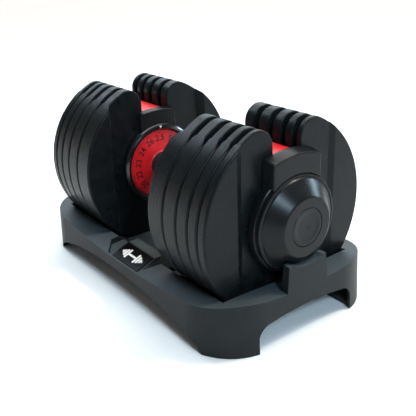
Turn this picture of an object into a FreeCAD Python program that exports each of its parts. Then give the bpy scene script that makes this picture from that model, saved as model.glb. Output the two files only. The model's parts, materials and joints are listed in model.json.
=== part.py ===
"""Adjustable dumbbell with ten U-slotted plates, a twist handle and the storage tray it sits in.

Frame: X runs along the handle, Y across it, Z up. The origin is on the floor under the middle of the
tray. The label of the tray faces -Y. All lengths are millimetres.
"""
import FreeCAD, Part
import math
import os

from FreeCAD import Placement, Rotation, Vector

# ---- driving dimensions -------------------------------------------------------------------------
AXIS_Z = 111.0            # height of the handle axis while the dumbbell sits in its tray
PLATE_RISE = 1.1          # the plates are centred this far above the handle axis
FIT = 0.05                # running clearance of a shaft in a bush
GAP = 0.4                 # general clearance between pieces that move past each other

# plates: one row per plate from the handle outwards, as x of its rim faces and x of its web faces
PLATE_RADIUS = 100.0
PLATE_RIMS = ((62.5, 88.5), (89.5, 110.5), (111.5, 128.5), (129.5, 143.5), (144.5, 155.5))
PLATE_WEBS = ((72.0, 85.5), (93.0, 106.0), (113.5, 124.5), (131.5, 140.0), (147.0, 153.0))
PLATE_STEP_Y = 66.5       # half width of the thin middle band, at the rim face of the first plate
PLATE_STEP_SHRINK = 1.2   # how much narrower the band gets from one plate to the next
PLATE_STEP_DRAFT = 6.5    # slope of the band's side walls
PLATE_EDGE = 2.4          # rounding of the rims
BAND_EDGE = 1.5           # rounding of the middle band, with its slot and horns
SLOT_HALF = 17.2          # half width of the slot that the handle drops into
HORN_RADIUS = 17.6        # rounding of the two horns beside the slot
PLATE_FLAT = 88.0         # the plates end in a flat this far below the handle axis
LUG_HALF = 5.0            # lifting lug under the slot: half width, and its inner and outer radius
LUG_RADII = (20.5, 26.0)
LUG_REACH = 2.3           # how far a lug stands out of the web

# selector discs: x where hub starts, x of the web faces, x of the flange tips, plates served
HUB_RADIUS = 14.0
TUBE_RADIUS = 10.0
TUBE_BORE = 7.0
FLANGE_RADII = (26.8, 30.8)
DISC_RADIUS = 32.0
DISC_HUBS = (87.0, 107.5, 125.8, 141.4, 157.0)
DISC_WEBS = ((88.3, 90.2), (107.7, 109.9), (126.2, 128.2), (141.7, 143.5))
DISC_FLANGES = (((88.3, 86.0, 1), (90.2, 92.5, 2)), ((109.9, 113.0, 3),), ((128.2, 131.0, 4),),
                ((143.5, 146.5, 5),))
SETTINGS = 14             # clicks of the handle in one turn, and the plates that each one picks up
PICKED = ((), (5,), (4,), (3,), (4, 5), (3, 4), (1, 4), (1, 2), (1, 3, 4), (1, 2, 3), (1, 2, 4, 5),
          (1, 2, 3, 5), (1, 2, 3, 4), (1, 2, 3, 4, 5))

# twist handle and its dials
GRIP_END_X = 61.8
GRIP_END_RADIUS = 16.0
GRIP_MID_RADIUS = 17.6
DIAL_RADIUS = 41.7
DIAL_EDGE_X = 66.2        # x of the dial face at its edge, and beside the grip
DIAL_HUB_X = 62.5
DIAL_BACK_X = 67.6

# inner cover with bezel
INNER_X = (68.0, 71.5)
INNER_RADIUS = 49.5
INNER_TAB_FRONT = (64.2, 23.5, 67.0)    # x, half width and top of the face of the tab
INNER_TAB_BACK = (24.6, 68.2)           # half width and top where it meets the plates
BEZEL_RADII = (43.0, 49.8)
BEZEL_FRONT_X = 61.6
BUSH_RADIUS = 17.0

# red bridge in the slot
BRIDGE_HALF = 16.0
BRIDGE_TOP = 66.6
BRIDGE_DEPTH = 15.0
BRIDGE_WALL = 3.0
BRIDGE_SCREWS = (-8.5, 8.5)
BRIDGE_SCREW_Z = BRIDGE_TOP - 7.5

# outer cover
BACK_X = (153.5, 156.5)
COVER_FLANGE_RADIUS = 50.9
COVER_FLANGE_X = (158.5, 164.6)
COVER_RING = (168.6, 48.2)              # x and radius of the lip round the cone
COVER_CONE = ((169.5, 43.8), (180.8, 30.6))
COVER_FACE_X = 181.8
COVER_FACE_RADIUS = 28.8
COVER_WALL = 3.0
COVER_TAB_FRONT = (168.2, 30.0, 68.6)   # x, half width and top of the face of the tab
COVER_TAB_BACK = (31.6, 70.3)           # half width and top where it meets the back plate
COVER_SCREW_Y = 22.5
COVER_SCREW_Z = 50.0
COVER_SCREW_SINK = 1.9
NUT_CUP_RADIUS = 19.4
NUT_CUP_X = 169.8

# tie rod and lock
ROD_RADIUS = 5.0
ROD_END_X = 178.2
LOCK_RING_RADII = (38.0, 45.0)
LOCK_RING_X = (157.2, 158.5, 161.5)
LOCK_NOTCH = (4.8, 42.6)  # width of a notch and the radius of its floor
LOCK_PIN_X = (161.9, 164.4)
LOCK_PIN_HALF = 5.0
LOCK_PIN_Z = (-54.1, -30.0)
LOCK_SHELF_Z = -16.5

# tray
TRAY_HALF = (186.8, 108.3)
TRAY_CORNER = 57.0
TRAY_DRAFT = 2.4
TRAY_WALL = 3.2
TRAY_STANDOFF = 0.5       # the wall ends this far above the floor, the pads carry the tray
RIM_LOW = 41.2            # height of the rim at the middle of a long side
RIM_LONG_R = 1150.0       # radius of its dip along a long side
RIM_END_LOW = 50.3        # height of the rim at the middle of an end
RIM_END_R = 430.0
RIM_BLEND = 1.5           # softness of the corner where the two dips meet
POCKET_RADIUS = 102.6
POCKET_HALF_X = 158.2
RIB_SPANS = ((-136, -122), (-58, -44))  # angles of the ribs that cradle each plate
ARCH_LONG = (150.0, 29.0) # half width and crown of the arch in a long side
ARCH_END = (62.0, 32.4)   # half width and crown of the arch in an end
ARCH_END_CORNER = 14.0
SADDLE_X = 175.6
SADDLE_HALF = (27.0, 24.2)              # at its foot and at its top
SADDLE_FOOT = 44.0
SADDLE_TOP = 77.8
SADDLE_RADIUS = 38.4
PAD_RADIUS = 9.0
PAD_HEIGHT = 2.4
PAD_AT = (161.0, 81.0)
LABEL_X = 8.0             # middle of the label holder
LABEL_SIZE = (52.0, 24.0, 1.2)          # length, width and thickness
LABEL_LOW = (-103.0, 37.6)              # y and z of the lower edge of the sloping label face
LABEL_HIGH = (-77.0, 47.6)              # and of its upper edge
LABEL_MARGIN = 1.6                      # left free below the label
HOLDER_BACK_Y = -66.5     # the flat crest of the holder ends here
HOLDER_HALF = 27.0
SCOOP_Z = 35.6            # floor of the scoop round the holder
SCOOP_WALL = 3.2

# ---- helpers ------------------------------------------------------------------------------------
X = Vector(1, 0, 0)
ORIGIN = Vector(0, 0, 0)


def tube(x0, x1, outer, inner=0.0):
    """Round bar or tube along the handle axis, in axis coordinates (z = 0 on the axis)."""
    bar = Part.makeCylinder(outer, x1 - x0, Vector(x0, 0, 0), X)
    if inner:
        bar = bar.cut(Part.makeCylinder(inner, x1 - x0 + 2, Vector(x0 - 1, 0, 0), X))
    return bar


def block(x0, x1, y0, y1, z0, z1):
    """Box between two corners."""
    return Part.makeBox(x1 - x0, y1 - y0, z1 - z0, Vector(x0, y0, z0))


def turned(points):
    """Solid of revolution about the X axis from a closed outline of (x, r) points."""
    corners = [Vector(x, 0, r) for x, r in points]
    wire = Part.makePolygon(corners + corners[:1])
    return Part.Face(wire).revolve(ORIGIN, X, 360)


def line(a, b):
    """Straight edge between two points."""
    return Part.LineSegment(a, b).toShape()


def arc(a, b, c):
    """Arc edge through three points."""
    return Part.Arc(a, b, c).toShape()


def seat(shape):
    """Axis coordinates to floor coordinates."""
    return shape.translated(Vector(0, 0, AXIS_Z))


def mirrored(shape):
    """The same piece for the other end of the dumbbell."""
    return shape.mirror(ORIGIN, X)


def one(shape):
    """The single solid that a boolean left, with its seams merged."""
    clean = shape.removeSplitter()
    solids = sorted(clean.Solids, key=lambda s: -s.Volume)
    return solids[0]


def rounded(shape, edges, radius):
    """Shape with the edges rounded, or left as it is where the radius has no room."""
    try:
        smooth = shape.makeFillet(radius, edges)
    except Exception:
        return shape
    if smooth.isValid() and smooth.Volume > 0:
        return smooth
    return shape


def polar(radius, degrees, x=0.0):
    """Point at an angle in the plane across the handle: 0 is +Y, 90 is up."""
    a = math.radians(degrees)
    return Vector(x, radius * math.cos(a), radius * math.sin(a))


def sector(x0, x1, inner, outer, start, stop):
    """Part of a ring between two angles."""
    mid = (start + stop) / 2.0
    edges = [arc(polar(outer, start, x0), polar(outer, mid, x0), polar(outer, stop, x0)),
             line(polar(outer, stop, x0), polar(inner, stop, x0)),
             arc(polar(inner, stop, x0), polar(inner, mid, x0), polar(inner, start, x0)),
             line(polar(inner, start, x0), polar(outer, start, x0))]
    return Part.Face(Part.Wire(edges)).extrude(Vector(x1 - x0, 0, 0))


NODES = {}


def both_ends(name, shape):
    """Registers the right-hand piece and its mirror image, already in axis coordinates."""
    NODES["right_" + name] = seat(shape)
    NODES["left_" + name] = seat(mirrored(shape))


# ---- plates -------------------------------------------------------------------------------------
def plate_outline(x):
    """Disc outline with the U slot and the two rounded horns, at one x."""
    cy = SLOT_HALF + HORN_RADIUS
    cz = math.sqrt((PLATE_RADIUS - HORN_RADIUS) ** 2 - cy ** 2)
    reach = PLATE_RADIUS / (PLATE_RADIUS - HORN_RADIUS)
    tip = math.degrees(math.atan2(cz, cy))
    top = (180.0 + tip) / 2.0

    def horn(side):
        middle = Vector(x, side * (cy + HORN_RADIUS * math.cos(math.radians(top))),
                        cz + HORN_RADIUS * math.sin(math.radians(top)))
        return Vector(x, side * SLOT_HALF, cz), middle, Vector(x, side * cy * reach, cz * reach)

    r_in, r_mid, r_out = horn(1)
    l_in, l_mid, l_out = horn(-1)
    centre = -PLATE_RISE
    floor = Vector(x, SLOT_HALF, centre)
    edges = [arc(r_out, Vector(x, 0, -PLATE_RADIUS), l_out),
             arc(l_out, l_mid, l_in),
             line(l_in, Vector(x, -SLOT_HALF, centre)),
             arc(Vector(x, -SLOT_HALF, centre), Vector(x, 0, centre - SLOT_HALF), floor),
             line(floor, r_in),
             arc(r_in, r_mid, r_out)]
    return Part.Wire(edges)


def rounded_disc(x0, x1):
    """Full disc with rounded rims."""
    disc = tube(x0, x1, PLATE_RADIUS)
    rims = [e for e in disc.Edges if isinstance(e.Curve, Part.Circle)]
    return rounded(disc, rims, PLATE_EDGE)


def band_cutter(face_x, web_x, half):
    """Drafted block that clears the middle band of a plate on one side."""
    outside = 10.0 if web_x < face_x else -10.0
    slope = PLATE_STEP_DRAFT / abs(web_x - face_x)
    far_half = half + slope * abs(outside)
    near_half = half - PLATE_STEP_DRAFT
    corners = [Vector(face_x + outside, far_half, -120), Vector(web_x, near_half, -120),
               Vector(web_x, -near_half, -120), Vector(face_x + outside, -far_half, -120)]
    face = Part.Face(Part.makePolygon(corners + corners[:1]))
    return face.extrude(Vector(0, 0, 240))


def plate(index):
    """One iron plate: thick side segments, thin middle band with horns, and its lifting lug."""
    rim = PLATE_RIMS[index]
    web = PLATE_WEBS[index]
    half = PLATE_STEP_Y - PLATE_STEP_SHRINK * index
    sides = rounded_disc(rim[0], rim[1])
    sides = sides.cut(band_cutter(rim[0], web[0], half))
    sides = sides.cut(band_cutter(rim[1], web[1], half))
    reach = half - PLATE_STEP_DRAFT
    sides = sides.cut(block(rim[0] - 1, rim[1] + 1, -reach, reach, -120, 120))
    middle = Part.Face(plate_outline(web[0])).extrude(Vector(web[1] - web[0], 0, 0))
    rims = [e for e in middle.Edges if abs(e.BoundBox.XMax - e.BoundBox.XMin) < 0.01]
    body = sides.fuse(rounded(middle, rims, BAND_EDGE))
    body = body.cut(block(rim[0] - 1, rim[1] + 1, -120, 120, -120, -PLATE_FLAT))
    lug_z = (-LUG_RADII[1] - PLATE_RISE + GAP, -LUG_RADII[0] - PLATE_RISE)
    if index == 0:
        lug_x = (web[1] - 3, web[1] + LUG_REACH)
    else:
        lug_x = (web[0] - LUG_REACH, web[0] + 3)
    lug = block(lug_x[0], lug_x[1], -LUG_HALF, LUG_HALF, lug_z[0], lug_z[1])
    return one(body.fuse(lug)).translated(Vector(0, 0, PLATE_RISE))


# ---- twist handle -------------------------------------------------------------------------------
def grip():
    """Barrel-shaped grip sleeve on the core tube."""
    outer = arc(Vector(-GRIP_END_X, 0, GRIP_END_RADIUS), Vector(0, 0, GRIP_MID_RADIUS),
                Vector(GRIP_END_X, 0, GRIP_END_RADIUS))
    edges = [outer,
             line(Vector(GRIP_END_X, 0, GRIP_END_RADIUS), Vector(GRIP_END_X, 0, TUBE_RADIUS)),
             line(Vector(GRIP_END_X, 0, TUBE_RADIUS), Vector(-GRIP_END_X, 0, TUBE_RADIUS)),
             line(Vector(-GRIP_END_X, 0, TUBE_RADIUS), Vector(-GRIP_END_X, 0, GRIP_END_RADIUS))]
    return Part.Face(Part.Wire(edges)).revolve(ORIGIN, X, 360)


def dial():
    """Shallow cone that carries the weight numbers, with the neck that passes the inner cover."""
    return turned([(GRIP_END_X, TUBE_RADIUS), (GRIP_END_X, GRIP_END_RADIUS + 0.3),
                   (DIAL_HUB_X, GRIP_END_RADIUS + 1.2), (DIAL_EDGE_X, DIAL_RADIUS - 0.6),
                   (DIAL_EDGE_X + 0.5, DIAL_RADIUS), (DIAL_BACK_X, DIAL_RADIUS),
                   (DIAL_BACK_X, HUB_RADIUS), (DISC_HUBS[0], HUB_RADIUS), (DISC_HUBS[0], TUBE_RADIUS)])


def selector_disc(index):
    """Disc keyed to the core tube; its flanges pass under the lugs of the plates it lifts."""
    body = tube(DISC_HUBS[index], DISC_HUBS[index + 1], HUB_RADIUS, TUBE_RADIUS)
    web = DISC_WEBS[index]
    body = body.fuse(tube(web[0], web[1], DISC_RADIUS, TUBE_RADIUS))
    step = 360.0 / SETTINGS
    for root_x, tip_x, served in DISC_FLANGES[index]:
        for click, picked in enumerate(PICKED):
            if served in picked:
                middle = -90.0 - click * step
                part = sector(min(root_x, tip_x), max(root_x, tip_x), FLANGE_RADII[0], FLANGE_RADII[1],
                              middle - step / 2.0, middle + step / 2.0)
                body = body.fuse(part)
    return one(body)


def lock_ring():
    """Cup with inside notches, one for each click of the handle."""
    ring = tube(LOCK_RING_X[0], LOCK_RING_X[1], LOCK_RING_RADII[1], TUBE_RADIUS)
    ring = ring.fuse(tube(LOCK_RING_X[1], LOCK_RING_X[2], LOCK_RING_RADII[1], LOCK_RING_RADII[0]))
    ring = ring.fuse(tube(DISC_HUBS[-1], LOCK_RING_X[1] + 1.5, HUB_RADIUS, TUBE_RADIUS))
    width, floor = LOCK_NOTCH
    for click in range(SETTINGS):
        notch = block(LOCK_RING_X[1], LOCK_RING_X[2] + 1, -width / 2.0, width / 2.0, -floor, -30)
        notch = notch.rotated(ORIGIN, X, click * 360.0 / SETTINGS)
        ring = ring.cut(notch)
    return one(ring)


# ---- frame of the dumbbell ----------------------------------------------------------------------
def tab_face(x, half, top, corner, sagitta):
    """Arched tab outline with round corners, standing on the axis."""
    shoulder = top - sagitta
    bend = corner * (1 - math.sqrt(0.5))
    crown = arc(Vector(x, half - corner, shoulder), Vector(x, 0, top), Vector(x, corner - half, shoulder))
    right = arc(Vector(x, half, shoulder - corner), Vector(x, half - bend, shoulder - bend),
                Vector(x, half - corner, shoulder))
    left = arc(Vector(x, corner - half, shoulder), Vector(x, bend - half, shoulder - bend),
               Vector(x, -half, shoulder - corner))
    return Part.Wire([line(Vector(x, -half, 0), Vector(x, half, 0)),
                      line(Vector(x, half, 0), Vector(x, half, shoulder - corner)),
                      right, crown, left,
                      line(Vector(x, -half, shoulder - corner), Vector(x, -half, 0))])


def tapered_tab(back_x, back, front, corner, sagitta, edge):
    """Tab between its back outline and its smaller face, with a rounded front edge."""
    front_x, front_half, front_top = front
    direction = 1 if front_x > back_x else -1
    sections = [tab_face(back_x, back[0], back[1], corner + 0.4, sagitta)]
    for degrees in (0, 30, 60, 90):
        a = math.radians(degrees)
        inset = edge * (1 - math.cos(a))
        x = front_x - direction * edge * (1 - math.sin(a))
        sections.append(tab_face(x, front_half - inset, front_top - inset, corner - inset, sagitta))
    return Part.makeLoft(sections, True, True)


def inner_cover():
    """Round cover plate with an arched tab, between the dial and the first plate."""
    body = tube(INNER_X[0], INNER_X[1], INNER_RADIUS)
    tab = tapered_tab(INNER_X[1], INNER_TAB_BACK, INNER_TAB_FRONT, 4.0, 1.6, 1.3)
    tab = tab.cut(tube(INNER_X[0] - 8, INNER_X[0], BEZEL_RADII[1]))
    body = body.fuse(tab)
    body = body.cut(tube(INNER_X[0] - 8, INNER_X[1] + 2, BUSH_RADIUS))
    return one(body)


def bezel():
    """Glossy ring round the dial."""
    inner, outer = BEZEL_RADII
    return turned([(INNER_X[0], inner), (BEZEL_FRONT_X + 2.0, inner), (BEZEL_FRONT_X, inner + 1.4),
                   (BEZEL_FRONT_X, outer - 3.0), (BEZEL_FRONT_X + 0.9, outer - 1.2),
                   (BEZEL_FRONT_X + 2.8, outer), (INNER_X[0], outer)])


def index_pointer():
    """Small light wedge set in the top of the bezel face."""
    inner = BEZEL_RADII[0] + 1.8
    outer = BEZEL_RADII[0] + 5.0
    corners = [Vector(BEZEL_FRONT_X - 0.4, 0, inner), Vector(BEZEL_FRONT_X - 0.4, 1.6, outer),
               Vector(BEZEL_FRONT_X - 0.4, -1.6, outer)]
    return Part.Face(Part.makePolygon(corners + corners[:1])).extrude(Vector(0.4, 0, 0))


def bush(x0, x1):
    """Plain plastic bush that the hub of the handle turns in."""
    return tube(x0, x1, BUSH_RADIUS, HUB_RADIUS + FIT)


def bridge_face(x, half, top, depth):
    """Slightly crowned bar section."""
    crown = arc(Vector(x, half - 2.5, top - 1.4), Vector(x, 0, top), Vector(x, 2.5 - half, top - 1.4))
    return Part.Wire([line(Vector(x, -half, top - depth), Vector(x, half, top - depth)),
                      line(Vector(x, half, top - depth), Vector(x, half, top - 4.0)),
                      line(Vector(x, half, top - 4.0), Vector(x, half - 2.5, top - 1.4)),
                      crown,
                      line(Vector(x, 2.5 - half, top - 1.4), Vector(x, -half, top - 4.0)),
                      line(Vector(x, -half, top - 4.0), Vector(x, -half, top - depth))])


def bridge():
    """Red channel that ties the inner cover to the outer one, over the slots of the plates."""
    x0 = INNER_X[1]
    x1 = BACK_X[0]
    bar = Part.Face(bridge_face(x0, BRIDGE_HALF, BRIDGE_TOP, BRIDGE_DEPTH)).extrude(Vector(x1 - x0, 0, 0))
    hollow = block(x0 + 6, x1 - 14, -BRIDGE_HALF + BRIDGE_WALL, BRIDGE_HALF - BRIDGE_WALL,
                   BRIDGE_TOP - BRIDGE_DEPTH - 1, BRIDGE_TOP - BRIDGE_WALL - 1.4)
    bar = bar.cut(hollow)
    for y in BRIDGE_SCREWS:
        bar = bar.cut(Part.makeCylinder(1.6, 12, Vector(x1 - 11, y, BRIDGE_SCREW_Z), X))
    return one(bar)


def cover_skin(inset):
    """Outer form of the end cover, or its inside when inset by the wall."""
    flange_r = COVER_FLANGE_RADIUS - inset
    flange_x = COVER_FLANGE_X[1] - inset
    ring_x = COVER_RING[0] - inset
    ring_r = COVER_RING[1] - inset
    (cone_x0, cone_r0), (cone_x1, cone_r1) = COVER_CONE
    face_x = COVER_FACE_X - inset
    face_r = COVER_FACE_RADIUS - inset * 0.5
    back = BACK_X[1] if inset == 0 else BACK_X[1] - 2
    round_form = turned([(back, 0), (back, flange_r - 1.6), (COVER_FLANGE_X[0], flange_r),
                         (flange_x - 0.8, flange_r), (flange_x, flange_r - 0.8), (flange_x, ring_r),
                         (ring_x - 0.9, ring_r), (ring_x - 0.2, ring_r - 0.3), (ring_x, ring_r - 0.9),
                         (ring_x, ring_r - 1.9), (ring_x - 0.5, ring_r - 2.7), (ring_x - 0.4, ring_r - 3.5),
                         (cone_x0 - inset * 0.6, cone_r0 - inset * 0.9),
                         (cone_x1 - inset * 0.6, cone_r1 - inset * 0.9),
                         (face_x - 0.3, face_r + 0.8), (face_x, face_r), (face_x, 0)])
    front = (COVER_TAB_FRONT[0] - inset, COVER_TAB_FRONT[1] - inset, COVER_TAB_FRONT[2] - inset)
    behind = (COVER_TAB_BACK[0] - inset, COVER_TAB_BACK[1] - inset)
    tab = tapered_tab(back, behind, front, 4.2, 4.2, 1.6 if inset == 0 else 0.5)
    if inset == 0:
        tab = tab.cut(tube(flange_x, front[0] + 2, ring_r + 0.8))
    return round_form.fuse(tab)


def outer_cover():
    """Moulded end cover: arched tab, flange and cone, with the nut cup and the lock guides inside."""
    outside = cover_skin(0.0)
    shell = outside.cut(cover_skin(COVER_WALL))
    cup = tube(NUT_CUP_X - 3, COVER_FACE_X - 1, NUT_CUP_RADIUS + 3)
    shelf = block(LOCK_PIN_X[0], NUT_CUP_X, -LOCK_PIN_HALF, LOCK_PIN_HALF, LOCK_SHELF_Z, LOCK_SHELF_Z + 2)
    shell = shell.fuse(cup).fuse(shelf)
    for side in (-1, 1):
        y0, y1 = sorted((side * (LOCK_PIN_HALF + GAP), side * (LOCK_PIN_HALF + GAP + 2)))
        guide = block(LOCK_PIN_X[0] + 0.2, 172, y0, y1, -50, LOCK_PIN_Z[1])
        shell = shell.fuse(guide.common(outside))
        screw_y = side * COVER_SCREW_Y
        shell = shell.fuse(Part.makeCylinder(3.6, 8.5, Vector(BACK_X[1], screw_y, COVER_SCREW_Z), X))
        shell = shell.cut(Part.makeCylinder(1.5, 7, Vector(BACK_X[1] - 1, screw_y, COVER_SCREW_Z), X))
    shell = shell.cut(tube(NUT_CUP_X, COVER_FACE_X + 1, NUT_CUP_RADIUS))
    shell = shell.cut(tube(NUT_CUP_X - 5, COVER_FACE_X, ROD_RADIUS + 0.2))
    slot_half = LOCK_PIN_HALF + GAP
    slot = block(LOCK_PIN_X[0] - GAP, LOCK_PIN_X[1] + GAP, -slot_half, slot_half, -56, -42)
    return one(shell.cut(slot))


def back_plate():
    """Flat plate that closes the outer cover and carries the bush of the hub."""
    body = tube(BACK_X[0], BACK_X[1], COVER_FLANGE_RADIUS - 1.6)
    tab = Part.Face(tab_face(BACK_X[0], COVER_TAB_BACK[0], COVER_TAB_BACK[1], 4.6, 4.2))
    body = body.fuse(tab.extrude(Vector(BACK_X[1] - BACK_X[0], 0, 0)))
    body = body.cut(tube(BACK_X[0] - 1, BACK_X[1] + 1, BUSH_RADIUS))
    start_x = BACK_X[0] - 1
    for y in (-COVER_SCREW_Y, COVER_SCREW_Y):
        start = Vector(start_x, y, COVER_SCREW_Z)
        body = body.cut(Part.makeCylinder(1.7, 8, start, X))
        body = body.cut(Part.makeCylinder(3.2, COVER_SCREW_SINK + 1, start, X))
    for y in BRIDGE_SCREWS:
        body = body.cut(Part.makeCylinder(1.8, 8, Vector(start_x, y, BRIDGE_SCREW_Z), X))
    return one(body)


def end_plug():
    """Snap-in round plug over the nut, with a slightly dished face."""
    radius = NUT_CUP_RADIUS - 0.3
    face = turned([(179.0, 0), (179.0, radius), (181.2, radius), (181.7, radius - 0.6),
                   (181.7, radius - 2.9), (181.2, radius - 7.2), (180.9, 0)])
    skirt = tube(175.0, 179.0, NUT_CUP_RADIUS - 0.5, NUT_CUP_RADIUS - 2.5)
    return one(face.fuse(skirt))


def hexagon(x0, x1, across):
    """Hexagonal bar along X."""
    corners = [polar(across / math.sqrt(3), 30 + 60 * i, x0) for i in range(6)]
    return Part.Face(Part.makePolygon(corners + corners[:1])).extrude(Vector(x1 - x0, 0, 0))


def tie_nut():
    """Washer and hexagon nut on the end of the tie rod, as two solids."""
    washer = tube(NUT_CUP_X, NUT_CUP_X + 1.5, 9.5, ROD_RADIUS + 0.2)
    nut = hexagon(NUT_CUP_X + 1.5, NUT_CUP_X + 7.5, 16.0).cut(tube(NUT_CUP_X, NUT_CUP_X + 9, ROD_RADIUS))
    return Part.makeCompound([washer, nut])


def screw(y, z, tip_x, head_x, radius, direction):
    """Pan-head screw along X: the shank ends at tip_x and the head sits on head_x."""
    shank = tube(min(tip_x, head_x), max(tip_x, head_x), radius)
    head_far = head_x + direction * 1.8
    head = tube(min(head_x, head_far), max(head_x, head_far), radius * 1.9)
    socket_x = sorted((head_far, head_far - direction * 0.9))
    socket = hexagon(socket_x[0], socket_x[1], radius)
    return one(shank.fuse(head).cut(socket)).translated(Vector(0, y, z))


def cover_screws():
    """Two screws per end for the cover and two for the bridge."""
    parts = []
    for y in BRIDGE_SCREWS:
        parts.append(screw(y, BRIDGE_SCREW_Z, BACK_X[0] - 9, BACK_X[1], 1.6, 1))
    for y in (-COVER_SCREW_Y, COVER_SCREW_Y):
        parts.append(screw(y, COVER_SCREW_Z, BACK_X[1] + 5, BACK_X[0] + COVER_SCREW_SINK, 1.5, -1))
    return Part.makeCompound(parts)


# ---- lock ---------------------------------------------------------------------------------------
def lock_pin():
    """Flat blade under the end cover; the tray pushes it up and its tooth leaves the lock ring."""
    blade = block(LOCK_PIN_X[0], LOCK_PIN_X[1], -LOCK_PIN_HALF, LOCK_PIN_HALF, LOCK_PIN_Z[0], LOCK_PIN_Z[1])
    tooth = block(LOCK_RING_X[1] + 0.6, LOCK_PIN_X[0], -2.0, 2.0, -37.4, -32.0)
    tip = [e for e in blade.Edges if e.BoundBox.ZMax < LOCK_PIN_Z[0] + 0.1 and e.Length > 5]
    return one(rounded(blade, tip, 0.8).fuse(tooth))


def lock_spring():
    """Compression spring between the blade and the shelf of the cover."""
    wire_radius = 0.3
    low = LOCK_PIN_Z[1] + wire_radius
    height = LOCK_SHELF_Z - LOCK_PIN_Z[1] - 2 * wire_radius
    pitch = height / 6.0
    coil = 1.6 - wire_radius
    helix = Part.makeHelix(pitch, height, coil)
    along = Vector(0, 1, pitch / (2 * math.pi * coil))
    circle = Part.Wire(Part.Circle(Vector(coil, 0, 0), along, wire_radius).toShape())
    solid = Part.Wire(helix.Edges).makePipeShell([circle], True, True)
    middle_x = (LOCK_PIN_X[0] + LOCK_PIN_X[1]) / 2.0
    return solid.translated(Vector(middle_x, 0, low))


# ---- tray ---------------------------------------------------------------------------------------
def rounded_rectangle(half_x, half_y, corner, z):
    """Closed plan outline with round corners."""
    a = half_x - corner
    b = half_y - corner
    k = corner * math.sqrt(0.5)
    points = [(a, b, 1, 1), (-a, b, -1, 1), (-a, -b, -1, -1), (a, -b, 1, -1)]
    edges = []
    ends = []
    for cx, cy, sx, sy in points:
        first = Vector(cx + sx * corner, cy, z)
        last = Vector(cx, cy + sy * corner, z)
        if sx * sy < 0:
            first, last = last, first
        edges.append(arc(first, Vector(cx + sx * k, cy + sy * k, z), last))
        ends.append((first, last))
    for i in range(4):
        edges.append(line(ends[i][1], ends[(i + 1) % 4][0]))
    return Part.Wire(Part.__sortEdges__(edges))


def tray_form(inset, z0, z1):
    """Drafted outer form of the tray, or its inside."""
    full = 60.0

    def ring(z):
        draft = TRAY_DRAFT * z / full + inset
        return rounded_rectangle(TRAY_HALF[0] - draft, TRAY_HALF[1] - draft, TRAY_CORNER - draft, z)

    return Part.makeLoft([ring(z0), ring(z1)], True, True)


def rim_height(x, y):
    """Height of the dished rim: the lower of the long dip and the end dip, blended softly."""
    along = RIM_LOW + RIM_LONG_R - math.sqrt(RIM_LONG_R ** 2 - x * x)
    across = RIM_END_LOW + RIM_END_R - math.sqrt(RIM_END_R ** 2 - y * y)
    apart = abs(along - across)
    return min(along, across) - RIM_BLEND * math.log(1 + math.exp(-apart / RIM_BLEND))


def rim_cutter(drop):
    """Everything above the dished rim, or above the same surface lowered by the drop."""
    rows = []
    for i in range(-10, 11):
        x = 19.0 * i
        points = [(x, 11.0 * j) for j in range(-10, 11)]
        rows.append([Vector(x, y, rim_height(x, y) - drop) for x, y in points])
    surface = Part.BSplineSurface()
    surface.interpolate(rows)
    return surface.toShape().extrude(Vector(0, 0, 100))


def arch_cutter(half, height, thick):
    """Half-elliptic arch prism, flat side down, standing along X with its thickness along Y."""
    curve = Part.Ellipse(ORIGIN, half, height).toShape(0, math.pi)
    curve.rotate(ORIGIN, X, 90)
    close = line(curve.Vertexes[-1].Point, curve.Vertexes[0].Point)
    face = Part.Face(Part.Wire([curve, close]))
    solid = face.extrude(Vector(0, thick, 0))
    low = block(-half, half, 0, thick, -20, 0.001)
    return solid.fuse(low)


def trough(wall):
    """Flat-bottomed round pocket that the plates stand in, or the same grown by the wall."""
    half_x = POCKET_HALF_X + wall
    form = tube(-half_x, half_x, POCKET_RADIUS + wall)
    form = form.cut(block(-200, 200, -120, 120, -120, -PLATE_FLAT - GAP - wall))
    return seat(form).translated(Vector(0, 0, PLATE_RISE))


def end_arch_cutter(thick):
    """Broad arch with round corners between the feet of an end, standing across X."""
    half, crown = ARCH_END
    shoulder = crown - 3.4
    corner = ARCH_END_CORNER
    k = corner * (1 - math.sqrt(0.5))
    edges = [line(Vector(0, half, -5), Vector(0, half, shoulder - corner)),
             arc(Vector(0, half, shoulder - corner), Vector(0, half - k, shoulder - k),
                 Vector(0, half - corner, shoulder)),
             arc(Vector(0, half - corner, shoulder), Vector(0, 0, crown),
                 Vector(0, corner - half, shoulder)),
             arc(Vector(0, corner - half, shoulder), Vector(0, k - half, shoulder - k),
                 Vector(0, -half, shoulder - corner)),
             line(Vector(0, -half, shoulder - corner), Vector(0, -half, -5)),
             line(Vector(0, -half, -5), Vector(0, half, -5))]
    return Part.Face(Part.Wire(edges)).extrude(Vector(thick, 0, 0))


def cradle_ribs():
    """Low ribs in the pocket, two under each plate."""
    ribs = []
    inner = PLATE_RADIUS + GAP
    outer = POCKET_RADIUS + 1.2
    for rim in PLATE_RIMS:
        for middle in (-(rim[0] + rim[1]) / 2.0, (rim[0] + rim[1]) / 2.0):
            for start, stop in RIB_SPANS:
                rib = sector(middle - 1.6, middle + 1.6, inner, outer, start, stop)
                ribs.append(seat(rib).translated(Vector(0, 0, PLATE_RISE)))
    return ribs


def saddle(side, form):
    """Block on the rim of one end whose hollow top the end cover sits in."""
    x0, x1 = sorted((side * SADDLE_X, side * 190.0))
    foot, top = SADDLE_HALF
    corners = [Vector(x0, -foot, SADDLE_FOOT), Vector(x0, foot, SADDLE_FOOT),
               Vector(x0, top, SADDLE_TOP), Vector(x0, -top, SADDLE_TOP)]
    body = Part.Face(Part.makePolygon(corners + corners[:1])).extrude(Vector(x1 - x0, 0, 0))
    return body.common(form).cut(seat(tube(x0 - 1, x1 + 1, SADDLE_RADIUS)))


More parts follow.
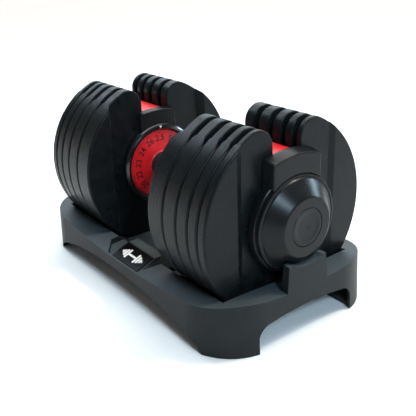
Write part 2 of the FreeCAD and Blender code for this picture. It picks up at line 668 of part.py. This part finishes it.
def lock_post(side):
    """Post on the deck that pushes the lock pin up."""
    x0, x1 = sorted((side * (LOCK_PIN_X[0] - 1.4), side * (LOCK_PIN_X[1] + 1.6)))
    return block(x0, x1, -4.5, 4.5, SADDLE_FOOT, AXIS_Z + LOCK_PIN_Z[0] - GAP)


def corners_of_tray():
    """Signs of the four corners."""
    return [(sx, sy) for sx in (-1, 1) for sy in (-1, 1)]


def tray():
    """Moulded tray: dished rim, pocket for the plates, saddle blocks, arches and corner feet."""
    top_z = 70.0
    outside = tray_form(0.0, TRAY_STANDOFF, top_z).cut(rim_cutter(0.0))
    inside = tray_form(TRAY_WALL, TRAY_STANDOFF - 1, top_z).cut(rim_cutter(TRAY_WALL))
    body = outside.cut(inside.cut(trough(TRAY_WALL))).cut(trough(0.0))
    for rib in cradle_ribs():
        body = body.fuse(rib)
    saddle_form = tray_form(0.0, 40.0, SADDLE_TOP)
    for side in (-1, 1):
        body = body.fuse(saddle(side, saddle_form)).fuse(lock_post(side))
    long_arch = arch_cutter(ARCH_LONG[0], ARCH_LONG[1], 14.0)
    body = body.cut(long_arch.translated(Vector(0, 98.0, 0)))
    body = body.cut(long_arch.translated(Vector(0, -112.0, 0)))
    end_arch = end_arch_cutter(14.0)
    body = body.cut(end_arch.translated(Vector(178.0, 0, 0)))
    body = body.cut(end_arch.translated(Vector(-192.0, 0, 0)))
    foot_form = tray_form(0.5, TRAY_STANDOFF, 5.0)
    for sx, sy in corners_of_tray():
        x0, x1 = sorted((sx * 151.0, sx * 190.0))
        y0, y1 = sorted((sy * 64.5, sy * 110.0))
        foot = block(x0, x1, y0, y1, TRAY_STANDOFF, 4.5).common(foot_form)
        hollow = Part.makeCylinder(PAD_RADIUS + 0.1, PAD_HEIGHT, Vector(sx * PAD_AT[0], sy * PAD_AT[1], 0))
        body = body.fuse(foot).cut(hollow)
    return one(label_seat(body, outside.cut(trough(0.0))))


def tray_pads():
    """Four soft pads under the corners."""
    pads = []
    for sx, sy in corners_of_tray():
        pads.append(Part.makeCylinder(PAD_RADIUS, PAD_HEIGHT, Vector(sx * PAD_AT[0], sy * PAD_AT[1], 0)))
    return Part.makeCompound(pads)


def plan_wire(points, z):
    """Closed polygon at one height, about the middle of the label holder."""
    corners = [Vector(x + LABEL_X, y, z) for x, y in points]
    return Part.makePolygon(corners + corners[:1])


def scoop_plan(grow):
    """Plan of the scoop round the label holder: straight on the right, flared on the left."""
    return [(-30.5 - grow, -104.4), (31.0 + grow, -104.4), (34.0 + grow, -60), (-60.0 - grow, -60),
            (-56.0 - grow, -86)]


def label_seat(body, form):
    """Hipped mound in a scoop of the long rim, with the sloping face that the label is stuck to."""
    wall = Part.Face(plan_wire(scoop_plan(SCOOP_WALL), SCOOP_Z - SCOOP_WALL)).extrude(Vector(0, 0, 30))
    body = body.fuse(wall.common(form))
    scoop = Part.Face(plan_wire(scoop_plan(0), SCOOP_Z))
    body = body.cut(scoop.extrude(Vector(0, 0, 30)))
    low_y, low_z = LABEL_LOW
    high_y, high_z = LABEL_HIGH
    back_y = HOLDER_BACK_Y + 5
    base = [(-HOLDER_HALF - 1.5, low_y), (HOLDER_HALF + 1.5, low_y), (HOLDER_HALF + 14, back_y),
            (-HOLDER_HALF - 22, back_y)]
    crest = [(-HOLDER_HALF, high_y), (HOLDER_HALF, high_y), (HOLDER_HALF, HOLDER_BACK_Y),
             (-HOLDER_HALF, HOLDER_BACK_Y)]
    mound = Part.makeLoft([plan_wire(base, low_z), plan_wire(crest, high_z)], True, True)
    skirt_z = SCOOP_Z - SCOOP_WALL
    skirt = Part.Face(plan_wire(base, skirt_z)).extrude(Vector(0, 0, low_z - skirt_z))
    return body.fuse(skirt).fuse(mound)


def tray_label():
    """Thin glossy label plate on the sloping face."""
    rise = LABEL_HIGH[1] - LABEL_LOW[1]
    run = LABEL_HIGH[0] - LABEL_LOW[0]
    length, width, thick = LABEL_SIZE
    plate_box = Part.makeBox(length, width, thick, Vector(-length / 2.0, LABEL_MARGIN, 0.02))
    edges = [e for e in plate_box.Edges if e.BoundBox.ZMin > thick - 0.1]
    plate_box = rounded(plate_box, edges, 0.35)
    plate_box.rotate(ORIGIN, X, math.degrees(math.atan2(rise, run)))
    return plate_box.translated(Vector(LABEL_X, LABEL_LOW[0], LABEL_LOW[1]))


# ---- the whole dumbbell -------------------------------------------------------------------------
for number in range(len(PLATE_RIMS)):
    both_ends("plate_%d" % (number + 1), plate(number))
for number in range(len(DISC_WEBS)):
    both_ends("selector_disc_%d" % (number + 1), selector_disc(number))
both_ends("dial", dial())
both_ends("lock_ring", lock_ring())
both_ends("inner_cover", inner_cover())
both_ends("bezel", bezel())
both_ends("index_pointer", index_pointer())
both_ends("bridge", bridge())
both_ends("outer_cover", outer_cover())
both_ends("back_plate", back_plate())
both_ends("end_plug", end_plug())
both_ends("tie_nut", tie_nut())
both_ends("cover_screws", cover_screws())
both_ends("inner_bush", bush(INNER_X[0], INNER_X[1]))
both_ends("outer_bush", bush(BACK_X[0], BACK_X[1]))
both_ends("lock_pin", lock_pin())
both_ends("lock_spring", lock_spring())
NODES["grip"] = seat(grip())
NODES["core_tube"] = seat(tube(-160.0, 160.0, TUBE_RADIUS, TUBE_BORE))
NODES["tie_rod"] = seat(tube(-ROD_END_X, ROD_END_X, ROD_RADIUS))
NODES["tray"] = tray()
NODES["tray_pads"] = tray_pads()
NODES["tray_label"] = tray_label()

os.makedirs("parts", exist_ok=True)
for name, shape in NODES.items():
    if not shape.isValid():
        print("not valid:", name)
    shape.exportStep("parts/%s.step" % name)
    size = shape.BoundBox
    print("%-24s %8.1f cm3  %d solid(s)  x %.1f..%.1f  z %.1f..%.1f" % (
        name, shape.Volume / 1000.0, len(shape.Solids), size.XMin, size.XMax, size.ZMin, size.ZMax))
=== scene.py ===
"""Looks of the adjustable dumbbell in its tray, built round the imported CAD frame. Metres, Z up."""
import json
import math

import bpy
from mathutils import Matrix, Vector


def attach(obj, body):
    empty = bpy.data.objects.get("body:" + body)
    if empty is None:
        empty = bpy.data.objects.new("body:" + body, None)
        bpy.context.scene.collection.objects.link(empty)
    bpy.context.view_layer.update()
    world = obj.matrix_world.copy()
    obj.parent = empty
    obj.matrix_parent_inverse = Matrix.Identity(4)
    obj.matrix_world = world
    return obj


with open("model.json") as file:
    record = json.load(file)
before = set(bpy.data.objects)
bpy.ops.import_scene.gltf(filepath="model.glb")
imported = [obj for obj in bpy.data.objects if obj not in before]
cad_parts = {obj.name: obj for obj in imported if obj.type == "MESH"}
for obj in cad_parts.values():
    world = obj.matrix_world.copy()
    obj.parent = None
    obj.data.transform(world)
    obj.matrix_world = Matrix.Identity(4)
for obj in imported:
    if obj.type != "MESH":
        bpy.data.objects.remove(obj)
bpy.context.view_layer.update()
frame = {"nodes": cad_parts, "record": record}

MM = 0.001
AXIS_Z = 111.0 * MM                             # height of the handle axis
ENDS = (("right", 1), ("left", -1))             # name, and the side along X
nodes = frame["nodes"]


# ---- node helpers -------------------------------------------------------------------------------
class Shader:
    """A node material with short calls for the nodes that the finishes share."""

    def __init__(self, name):
        self.material = bpy.data.materials.new(name)
        self.material.use_nodes = True
        self.tree = self.material.node_tree
        self.bsdf = self.tree.nodes["Principled BSDF"]
        self.where = self.add("ShaderNodeTexCoord").outputs["Object"]

    def add(self, kind, **values):
        node = self.tree.nodes.new(kind)
        for key, value in values.items():
            setattr(node, key, value)
        return node

    def link(self, source, target):
        self.tree.links.new(source, target)

    def set(self, **values):
        """Sockets of the shader that are the same all over the surface."""
        for key, value in values.items():
            self.bsdf.inputs[key.replace("_", " ")].default_value = value

    def polar(self, along, around, outward):
        """Cylinder coordinates about the handle axis: x, angle and radius, each with its own scale."""
        split = self.add("ShaderNodeSeparateXYZ")
        self.link(self.where, split.inputs[0])
        height = self.math("SUBTRACT", split.outputs["Z"], AXIS_Z)
        angle = self.math("ARCTAN2", height, split.outputs["Y"])
        square = self.math("ADD", self.math("MULTIPLY", height, height),
                           self.math("MULTIPLY", split.outputs["Y"], split.outputs["Y"]))
        radius = self.math("SQRT", square)
        join = self.add("ShaderNodeCombineXYZ")
        self.link(self.math("MULTIPLY", split.outputs["X"], along), join.inputs[0])
        self.link(self.math("MULTIPLY", angle, around), join.inputs[1])
        self.link(self.math("MULTIPLY", radius, outward), join.inputs[2])
        return join.outputs[0]

    def math(self, operation, a, b=0.0):
        node = self.add("ShaderNodeMath", operation=operation)
        for socket, value in zip(node.inputs, (a, b)):
            if isinstance(value, (int, float)):
                socket.default_value = value
            else:
                self.link(value, socket)
        return node.outputs[0]

    def noise(self, scale, detail=3.0, rough=0.55, where=None):
        node = self.add("ShaderNodeTexNoise")
        node.inputs["Scale"].default_value = scale
        node.inputs["Detail"].default_value = detail
        node.inputs["Roughness"].default_value = rough
        self.link(where or self.where, node.inputs["Vector"])
        return node.outputs["Fac"]

    def ramp(self, value, low, high, bottom, top):
        """value mapped from low..high to bottom..top."""
        node = self.add("ShaderNodeMapRange")
        for key, number in (("From Min", low), ("From Max", high), ("To Min", bottom), ("To Max", top)):
            node.inputs[key].default_value = number
        self.link(value, node.inputs["Value"])
        return node.outputs["Result"]

    def colour(self, value, dark, light):
        """Blend between two colours, into the base colour."""
        node = self.add("ShaderNodeMix", data_type="RGBA")
        node.inputs["A"].default_value = (*dark, 1)
        node.inputs["B"].default_value = (*light, 1)
        self.link(value, node.inputs["Factor"])
        self.link(node.outputs["Result"], self.bsdf.inputs["Base Color"])

    def facing(self, axis, low, high):
        """0 to 1 as the surface turns towards an axis, between two lengths of the normal along it."""
        split = self.add("ShaderNodeSeparateXYZ")
        self.link(self.add("ShaderNodeNewGeometry").outputs["Normal"], split.inputs[0])
        node = self.add("ShaderNodeMapRange", interpolation_type="SMOOTHSTEP", clamp=True)
        node.inputs["From Min"].default_value = low
        node.inputs["From Max"].default_value = high
        self.link(self.math("ABSOLUTE", split.outputs[axis]), node.inputs["Value"])
        return node.outputs["Result"]

    def rough(self, value, low, high):
        self.link(self.ramp(value, 0.3, 0.7, low, high), self.bsdf.inputs["Roughness"])

    def bump(self, value, depth, strength=1.0, under=None):
        """Height in metres over the surface."""
        node = self.add("ShaderNodeBump")
        node.inputs["Strength"].default_value = strength
        node.inputs["Distance"].default_value = depth
        self.link(value, node.inputs["Height"])
        if under is not None:
            self.link(under, node.inputs["Normal"])
        self.link(node.outputs["Normal"], self.bsdf.inputs["Normal"])
        return node.outputs["Normal"]


# ---- materials ----------------------------------------------------------------------------------
def tray_plastic():
    """Moulded plastic with coarse grain and smoother, darker walls; the surfaces that face up get a
    painted sheen, lighter colour that stands in for light from above.
    """
    s = Shader("tray_plastic")
    grain = s.noise(1100, 2, 0.6)
    cloud = s.noise(26, 4, 0.6)
    mottle = s.math("ADD", s.math("MULTIPLY", grain, 0.55), s.math("MULTIPLY", cloud, 0.45))
    # painted sheen: the colour turns lighter as the surface faces up, in place of light from above; the
    # mottle added to it is real grain
    painted_sheen_up = s.facing("Z", 0.80, 0.98)
    s.colour(s.math("ADD", s.math("MULTIPLY", painted_sheen_up, 0.78), s.ramp(mottle, 0.35, 0.65, 0, 0.16)),
             (0.0052, 0.0067, 0.0069), (0.060, 0.075, 0.081))
    s.rough(mottle, 0.40, 0.58)
    s.bump(grain, 0.00040, 0.55)
    s.set(Specular_IOR_Level=0.2)
    return s.material


def plate_paint():
    s = Shader("plate_paint")
    turned = s.noise(1.0, 3, 0.6, s.polar(1400, 7, 30))
    flat = s.facing("X", 0.4, 0.9)
    streak = s.math("MULTIPLY", turned, s.math("SUBTRACT", 1.0, s.math("MULTIPLY", flat, 0.97)))
    cloud = s.noise(40, 4, 0.6)
    orange = s.noise(900, 2, 0.5)
    tone = s.math("ADD", s.math("MULTIPLY", turned, 0.6), s.math("MULTIPLY", cloud, 0.4))
    s.colour(s.ramp(tone, 0.35, 0.65, 0, 1), (0.0035, 0.0046, 0.0054), (0.0070, 0.0090, 0.0102))
    s.rough(turned, 0.24, 0.42)
    first = s.bump(streak, 0.00045, 0.8)
    s.bump(orange, 0.00012, 0.35, first)
    s.set(Specular_IOR_Level=0.14)
    return s.material


def cover_plastic():
    s = Shader("cover_plastic")
    fine = s.noise(1100, 2, 0.5)
    cloud = s.noise(30, 3, 0.6)
    s.colour(s.ramp(cloud, 0.3, 0.7, 0, 1), (0.0040, 0.0047, 0.0053), (0.0075, 0.0086, 0.0094))
    s.rough(s.math("ADD", s.math("MULTIPLY", fine, 0.4), s.math("MULTIPLY", cloud, 0.6)), 0.25, 0.36)
    s.bump(fine, 0.00010, 0.35)
    s.set(Specular_IOR_Level=0.17)
    return s.material


def bezel_gloss():
    s = Shader("bezel_gloss")
    cloud = s.noise(60, 3, 0.6)
    s.colour(cloud, (0.004, 0.004, 0.0045), (0.008, 0.008, 0.009))
    s.rough(cloud, 0.12, 0.22)
    s.set(Coat_Weight=0.3, Coat_Roughness=0.08)
    return s.material


def red_plastic():
    s = Shader("red_plastic")
    cloud = s.noise(35, 4, 0.6)
    fine = s.noise(900, 2, 0.5)
    s.colour(s.ramp(cloud, 0.3, 0.7, 0, 1), (0.53, 0.007, 0.012), (0.66, 0.014, 0.020))
    s.rough(cloud, 0.34, 0.48)
    s.bump(fine, 0.00008, 0.3)
    s.set(Specular_IOR_Level=0.4)
    return s.material


def plain(name, dark, light, rough, metal=0.0, scale=300, depth=0.00006, shine=0.5):
    """A finish with a slight mottle, for the small and inner pieces."""
    s = Shader(name)
    mottle = s.noise(scale, 3, 0.6)
    s.colour(s.ramp(mottle, 0.3, 0.7, 0, 1), dark, light)
    s.rough(mottle, *rough)
    s.bump(mottle, depth, 0.4)
    s.set(Metallic=metal, Specular_IOR_Level=shine)
    return s.material


def grip_rubber():
    s = Shader("grip_rubber")
    fine = s.noise(1400, 2, 0.6)
    s.colour(fine, (0.006, 0.006, 0.0065), (0.013, 0.013, 0.014))
    s.rough(fine, 0.6, 0.8)
    s.bump(fine, 0.0002, 0.5)
    return s.material


FINISHES = {
    "tray_plastic": tray_plastic(),
    "plate_iron": plate_paint(),
    "cover_plastic": cover_plastic(),
    "bezel_gloss": bezel_gloss(),
    "red_plastic": red_plastic(),
    "grip_rubber": grip_rubber(),
    "pad_rubber": plain("pad_rubber", (0.010, 0.010, 0.010), (0.022, 0.022, 0.022), (0.65, 0.85)),
    "label_gloss": plain("label_gloss", (0.002, 0.002, 0.0022), (0.004, 0.004, 0.0042), (0.3, 0.4),
                         scale=90, shine=0.05),
    "pointer_light": plain("pointer_light", (0.7, 0.7, 0.68), (0.85, 0.85, 0.83), (0.3, 0.4)),
    "disc_steel": plain("disc_steel", (0.34, 0.34, 0.35), (0.46, 0.46, 0.47), (0.28, 0.42), 1.0),
    "lock_plastic": plain("lock_plastic", (0.05, 0.05, 0.052), (0.09, 0.09, 0.092), (0.4, 0.55)),
    "bush_plastic": plain("bush_plastic", (0.55, 0.54, 0.5), (0.66, 0.65, 0.6), (0.35, 0.5)),
    "zinc_steel": plain("zinc_steel", (0.5, 0.5, 0.48), (0.66, 0.66, 0.62), (0.25, 0.4), 1.0),
    "tube_steel": plain("tube_steel", (0.42, 0.42, 0.42), (0.55, 0.55, 0.55), (0.22, 0.36), 1.0),
    "spring_steel": plain("spring_steel", (0.36, 0.36, 0.37), (0.5, 0.5, 0.5), (0.2, 0.35), 1.0),
}
WHITE_PRINT = plain("white_print", (0.72, 0.72, 0.71), (0.84, 0.84, 0.83), (0.4, 0.5))
BLACK_PRINT = plain("black_print", (0.006, 0.006, 0.006), (0.014, 0.014, 0.014), (0.5, 0.6), shine=0.2)

slot_of = {row["node"]: row["material_slot"] for row in frame["record"]["subparts"]}
for name, piece in nodes.items():
    piece.data.materials.clear()
    piece.data.materials.append(FINISHES[slot_of[name]])


def soften(name, width, segments=2, angle=30):
    """Small rounding, in mm, of the edges of a node that turn by more than an angle in degrees."""
    bevel = nodes[name].modifiers.new("soft_edges", "BEVEL")
    bevel.width = width * MM
    bevel.segments = segments
    bevel.limit_method = "ANGLE"
    bevel.angle_limit = math.radians(angle)


SOFT_EDGES = {"outer_cover": 0.5, "inner_cover": 0.4, "dial": 0.3, "bridge": 0.6}    # widths in mm
for side_name, _ in ENDS:
    for piece_name, width in SOFT_EDGES.items():
        soften("%s_%s" % (side_name, piece_name), width)
soften("tray", 1.1, 3, 35)


# ---- printed marks ------------------------------------------------------------------------------
NUMBERS = ("2.5", "5", "6", "7", "9", "11", "13", "15", "18", "20", "22", "23", "24", "26")
DIAL_CONE = ((62.5, 17.2), (66.2, 41.1))       # x and radius at the inner and outer edge, mm
NUMBER_RADIUS = 32.2                            # middle of the numbers
NUMBER_SIZE = 10.2
NUMBER_WEIGHT = 0.12                            # how much the strokes are fattened
TICK_RADIUS = 39.2
TICK_SIZE = 0.75
TICK_CORNERS = 12
PRINT_LIFT = 0.07                               # print stands this far off the dial


def on_dial(side, radius, degrees):
    """Frame that lies on the cone of a dial: right along the text, up outwards, normal to the grip."""
    (x0, r0), (x1, r1) = DIAL_CONE
    run, climb = Vector((r1 - r0, x1 - x0)).normalized()
    a = math.radians(degrees)
    up = Vector((side * climb, run * math.cos(a), run * math.sin(a)))
    normal = Vector((-side * run, climb * math.cos(a), climb * math.sin(a)))
    x = x0 + (radius - r0) * (x1 - x0) / (r1 - r0)
    place = Vector((side * x * MM, radius * math.cos(a) * MM, AXIS_Z + radius * math.sin(a) * MM))
    turn = Matrix((up.cross(normal), up, normal)).transposed().to_4x4()
    return Matrix.Translation(place + normal * PRINT_LIFT * MM) @ turn


def add_mesh(name, corners, faces, material):
    """Mesh object in the scene."""
    mesh = bpy.data.meshes.new(name)
    mesh.from_pydata(corners, [], faces)
    mesh.materials.append(material)
    piece = bpy.data.objects.new(name, mesh)
    bpy.context.scene.collection.objects.link(piece)
    return piece


def number(name, text, placing):
    """One weight number as a thin print."""
    curve = bpy.data.curves.new(name, "FONT")
    curve.body = text
    curve.size = NUMBER_SIZE * MM
    curve.align_x = "CENTER"
    curve.align_y = "CENTER"
    curve.space_character = 1.04
    curve.offset = NUMBER_WEIGHT * MM
    curve.resolution_u = 3
    curve.materials.append(BLACK_PRINT)
    piece = bpy.data.objects.new(name, curve)
    bpy.context.scene.collection.objects.link(piece)
    piece.matrix_world = placing
    return piece


def dial_print(side_name, side):
    """Fourteen numbers with a tick outside each, turning with the handle."""
    turns = [2 * math.pi * t / TICK_CORNERS for t in range(TICK_CORNERS)]
    dot = [Vector((TICK_SIZE * math.cos(t), TICK_SIZE * math.sin(t), 0)) * MM for t in turns]
    corners = []
    faces = []
    for k, text in enumerate(NUMBERS):
        degrees = 90 - 360 * k / len(NUMBERS)
        mark = number("%s_number_%d" % (side_name, k), text, on_dial(side, NUMBER_RADIUS, degrees))
        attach(mark, "twist_handle")
        tick = on_dial(side, TICK_RADIUS, degrees)
        faces.append(tuple(range(len(corners), len(corners) + len(dot))))
        corners += [tick @ p for p in dot]
    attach(add_mesh("%s_ticks" % side_name, corners, faces, BLACK_PRINT), "twist_handle")


LABEL_X = 8.0                                   # middle of the label, mm
LABEL_LOW = (-103.0, 37.6)                      # y and z of the lower edge of the slope it lies on
LABEL_HIGH = (-77.0, 47.6)                      # and of the upper edge
LABEL_FACE = (13.6, 1.30)                       # middle of the label along the slope, and just above it
SIGN_GRIP = (6.8, 1.3, 0.2)                     # half length, half height and corner, mm
SIGN_PLATES = ((8.6, 1.7, 6.4, 0.9), (12.7, 1.7, 4.8, 0.9), (16.3, 1.3, 2.8, 0.8), (18.8, 1.1, 1.0, 0.3))
CORNER_STEPS = 4


def on_label(points):
    """Points of the label plane, given along X and up the slope, in metres."""
    run = LABEL_HIGH[0] - LABEL_LOW[0]
    rise = LABEL_HIGH[1] - LABEL_LOW[1]
    along = Vector((0, run, rise)).normalized()
    normal = Vector((0, -along.z, along.y))
    origin = Vector((LABEL_X, LABEL_LOW[0], LABEL_LOW[1])) + along * LABEL_FACE[0] + normal * LABEL_FACE[1]
    return [(origin + Vector((u, 0, 0)) + along * v) * MM for u, v in points]


def bar_with_round_ends(middle, half_u, half_v, corner):
    """Outline of a small rounded bar on the label."""
    points = []
    for su, sv, start in ((1, 1, 0), (-1, 1, 90), (-1, -1, 180), (1, -1, 270)):
        for step in range(CORNER_STEPS + 1):
            a = math.radians(start + 90 * step / CORNER_STEPS)
            points.append((middle + su * (half_u - corner) + corner * math.cos(a),
                           sv * (half_v - corner) + corner * math.sin(a)))
    return points


def pictogram():
    """Small dumbbell sign printed on the label."""
    bars = [bar_with_round_ends(0, *SIGN_GRIP)]
    for s in (-1, 1):
        for middle, *form in SIGN_PLATES:
            bars.append(bar_with_round_ends(s * middle, *form))
    corners = []
    faces = []
    for outline in bars:
        faces.append(tuple(range(len(corners), len(corners) + len(outline))))
        corners += on_label(outline)
    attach(add_mesh("label_sign", corners, faces, WHITE_PRINT), "tray_base")


for side_name, side in ENDS:
    dial_print(side_name, side)
pictogram()


# ---- floor, light and camera --------------------------------------------------------------------
FLOOR_HALF = 60.0
PART_MIDDLE = (0, 0, 0.1)                       # where the softboxes aim


def floor():
    """Wide pale floor."""
    s = Shader("floor_paper")
    cloud = s.noise(2.5, 3, 0.5)
    s.colour(s.ramp(cloud, 0.3, 0.7, 0, 1), (0.88, 0.88, 0.88), (0.90, 0.90, 0.90))
    s.set(Roughness=0.7, Specular_IOR_Level=0.1)
    corners = [(x * FLOOR_HALF, y * FLOOR_HALF, 0) for x, y in ((-1, -1), (1, -1), (1, 1), (-1, 1))]
    add_mesh("floor", corners, [(0, 1, 2, 3)], s.material)


def add_lamp(name, kind, place, target, energy, tint):
    """Lamp aimed at a point."""
    lamp = bpy.data.lights.new(name, kind)
    lamp.energy = energy
    lamp.color = tint
    piece = bpy.data.objects.new(name, lamp)
    bpy.context.scene.collection.objects.link(piece)
    piece.location = place
    piece.rotation_euler = (Vector(target) - Vector(place)).to_track_quat("-Z", "Y").to_euler()
    return lamp


def softbox(name, place, size, power, tint):
    """Rectangular lamp aimed at the middle of the part."""
    lamp = add_lamp(name, "AREA", place, PART_MIDDLE, power, tint)
    lamp.shape = "RECTANGLE"
    lamp.size, lamp.size_y = size


def studio():
    """Wide light from above, softboxes whose reflections draw the edges, and a dim surround."""
    overhead = add_lamp("overhead", "SUN", (-0.55, 0.75, 2.0), (0, 0, 0), 3.35, (1, 0.99, 0.97))
    overhead.angle = math.radians(80)
    softbox("key", (1.18, -0.30, 0.96), (0.30, 0.26), 12, (0.60, 0.82, 1.0))
    softbox("left", (-1.15, -0.15, 1.05), (0.30, 0.4), 6, (0.70, 0.88, 1.0))
    softbox("back", (-1.3, 0.95, 0.75), (1.5, 0.7), 9, (0.72, 0.88, 1.0))
    softbox("right", (0.43, 1.3, 0.53), (0.30, 0.30), 6, (0.60, 0.82, 1.0))
    softbox("edge", (0.45, 0.62, 1.25), (0.20, 0.20), 8, (1.0, 0.92, 0.78))
    world = bpy.data.worlds.new("studio")
    bpy.context.scene.world = world
    world.use_nodes = True
    sky = world.node_tree.nodes["Background"]
    sky.inputs["Color"].default_value = (1.0, 0.97, 0.92, 1)
    sky.inputs["Strength"].default_value = 0.17
    bpy.context.scene.view_settings.view_transform = "Standard"


def camera():
    """Camera beyond the right end and the label side, a little above, at the dumbbell."""
    azimuth, elevation, roll = (math.radians(a) for a in (53.70, 22.98, -2.07))
    distance, lens = 0.7296, 54.22
    shift_right, aim_height = 0.01614, 0.07205
    right = Vector((math.cos(azimuth), math.sin(azimuth), 0))
    back = Vector((math.sin(azimuth) * math.cos(elevation), -math.cos(azimuth) * math.cos(elevation),
                   math.sin(elevation)))
    up = back.cross(right)
    place = right * shift_right + Vector((0, 0, aim_height)) + back * distance
    side = right * math.cos(roll) + up * math.sin(roll)
    top = up * math.cos(roll) - right * math.sin(roll)
    data = bpy.data.cameras.new("camera")
    data.lens = lens
    data.sensor_width = 36
    data.clip_end = 30
    piece = bpy.data.objects.new("camera", data)
    bpy.context.scene.collection.objects.link(piece)
    turn = Matrix((side, top, back)).transposed().to_4x4()
    piece.matrix_world = Matrix.Translation(place) @ turn
    bpy.context.scene.camera = piece


floor()
studio()
camera()
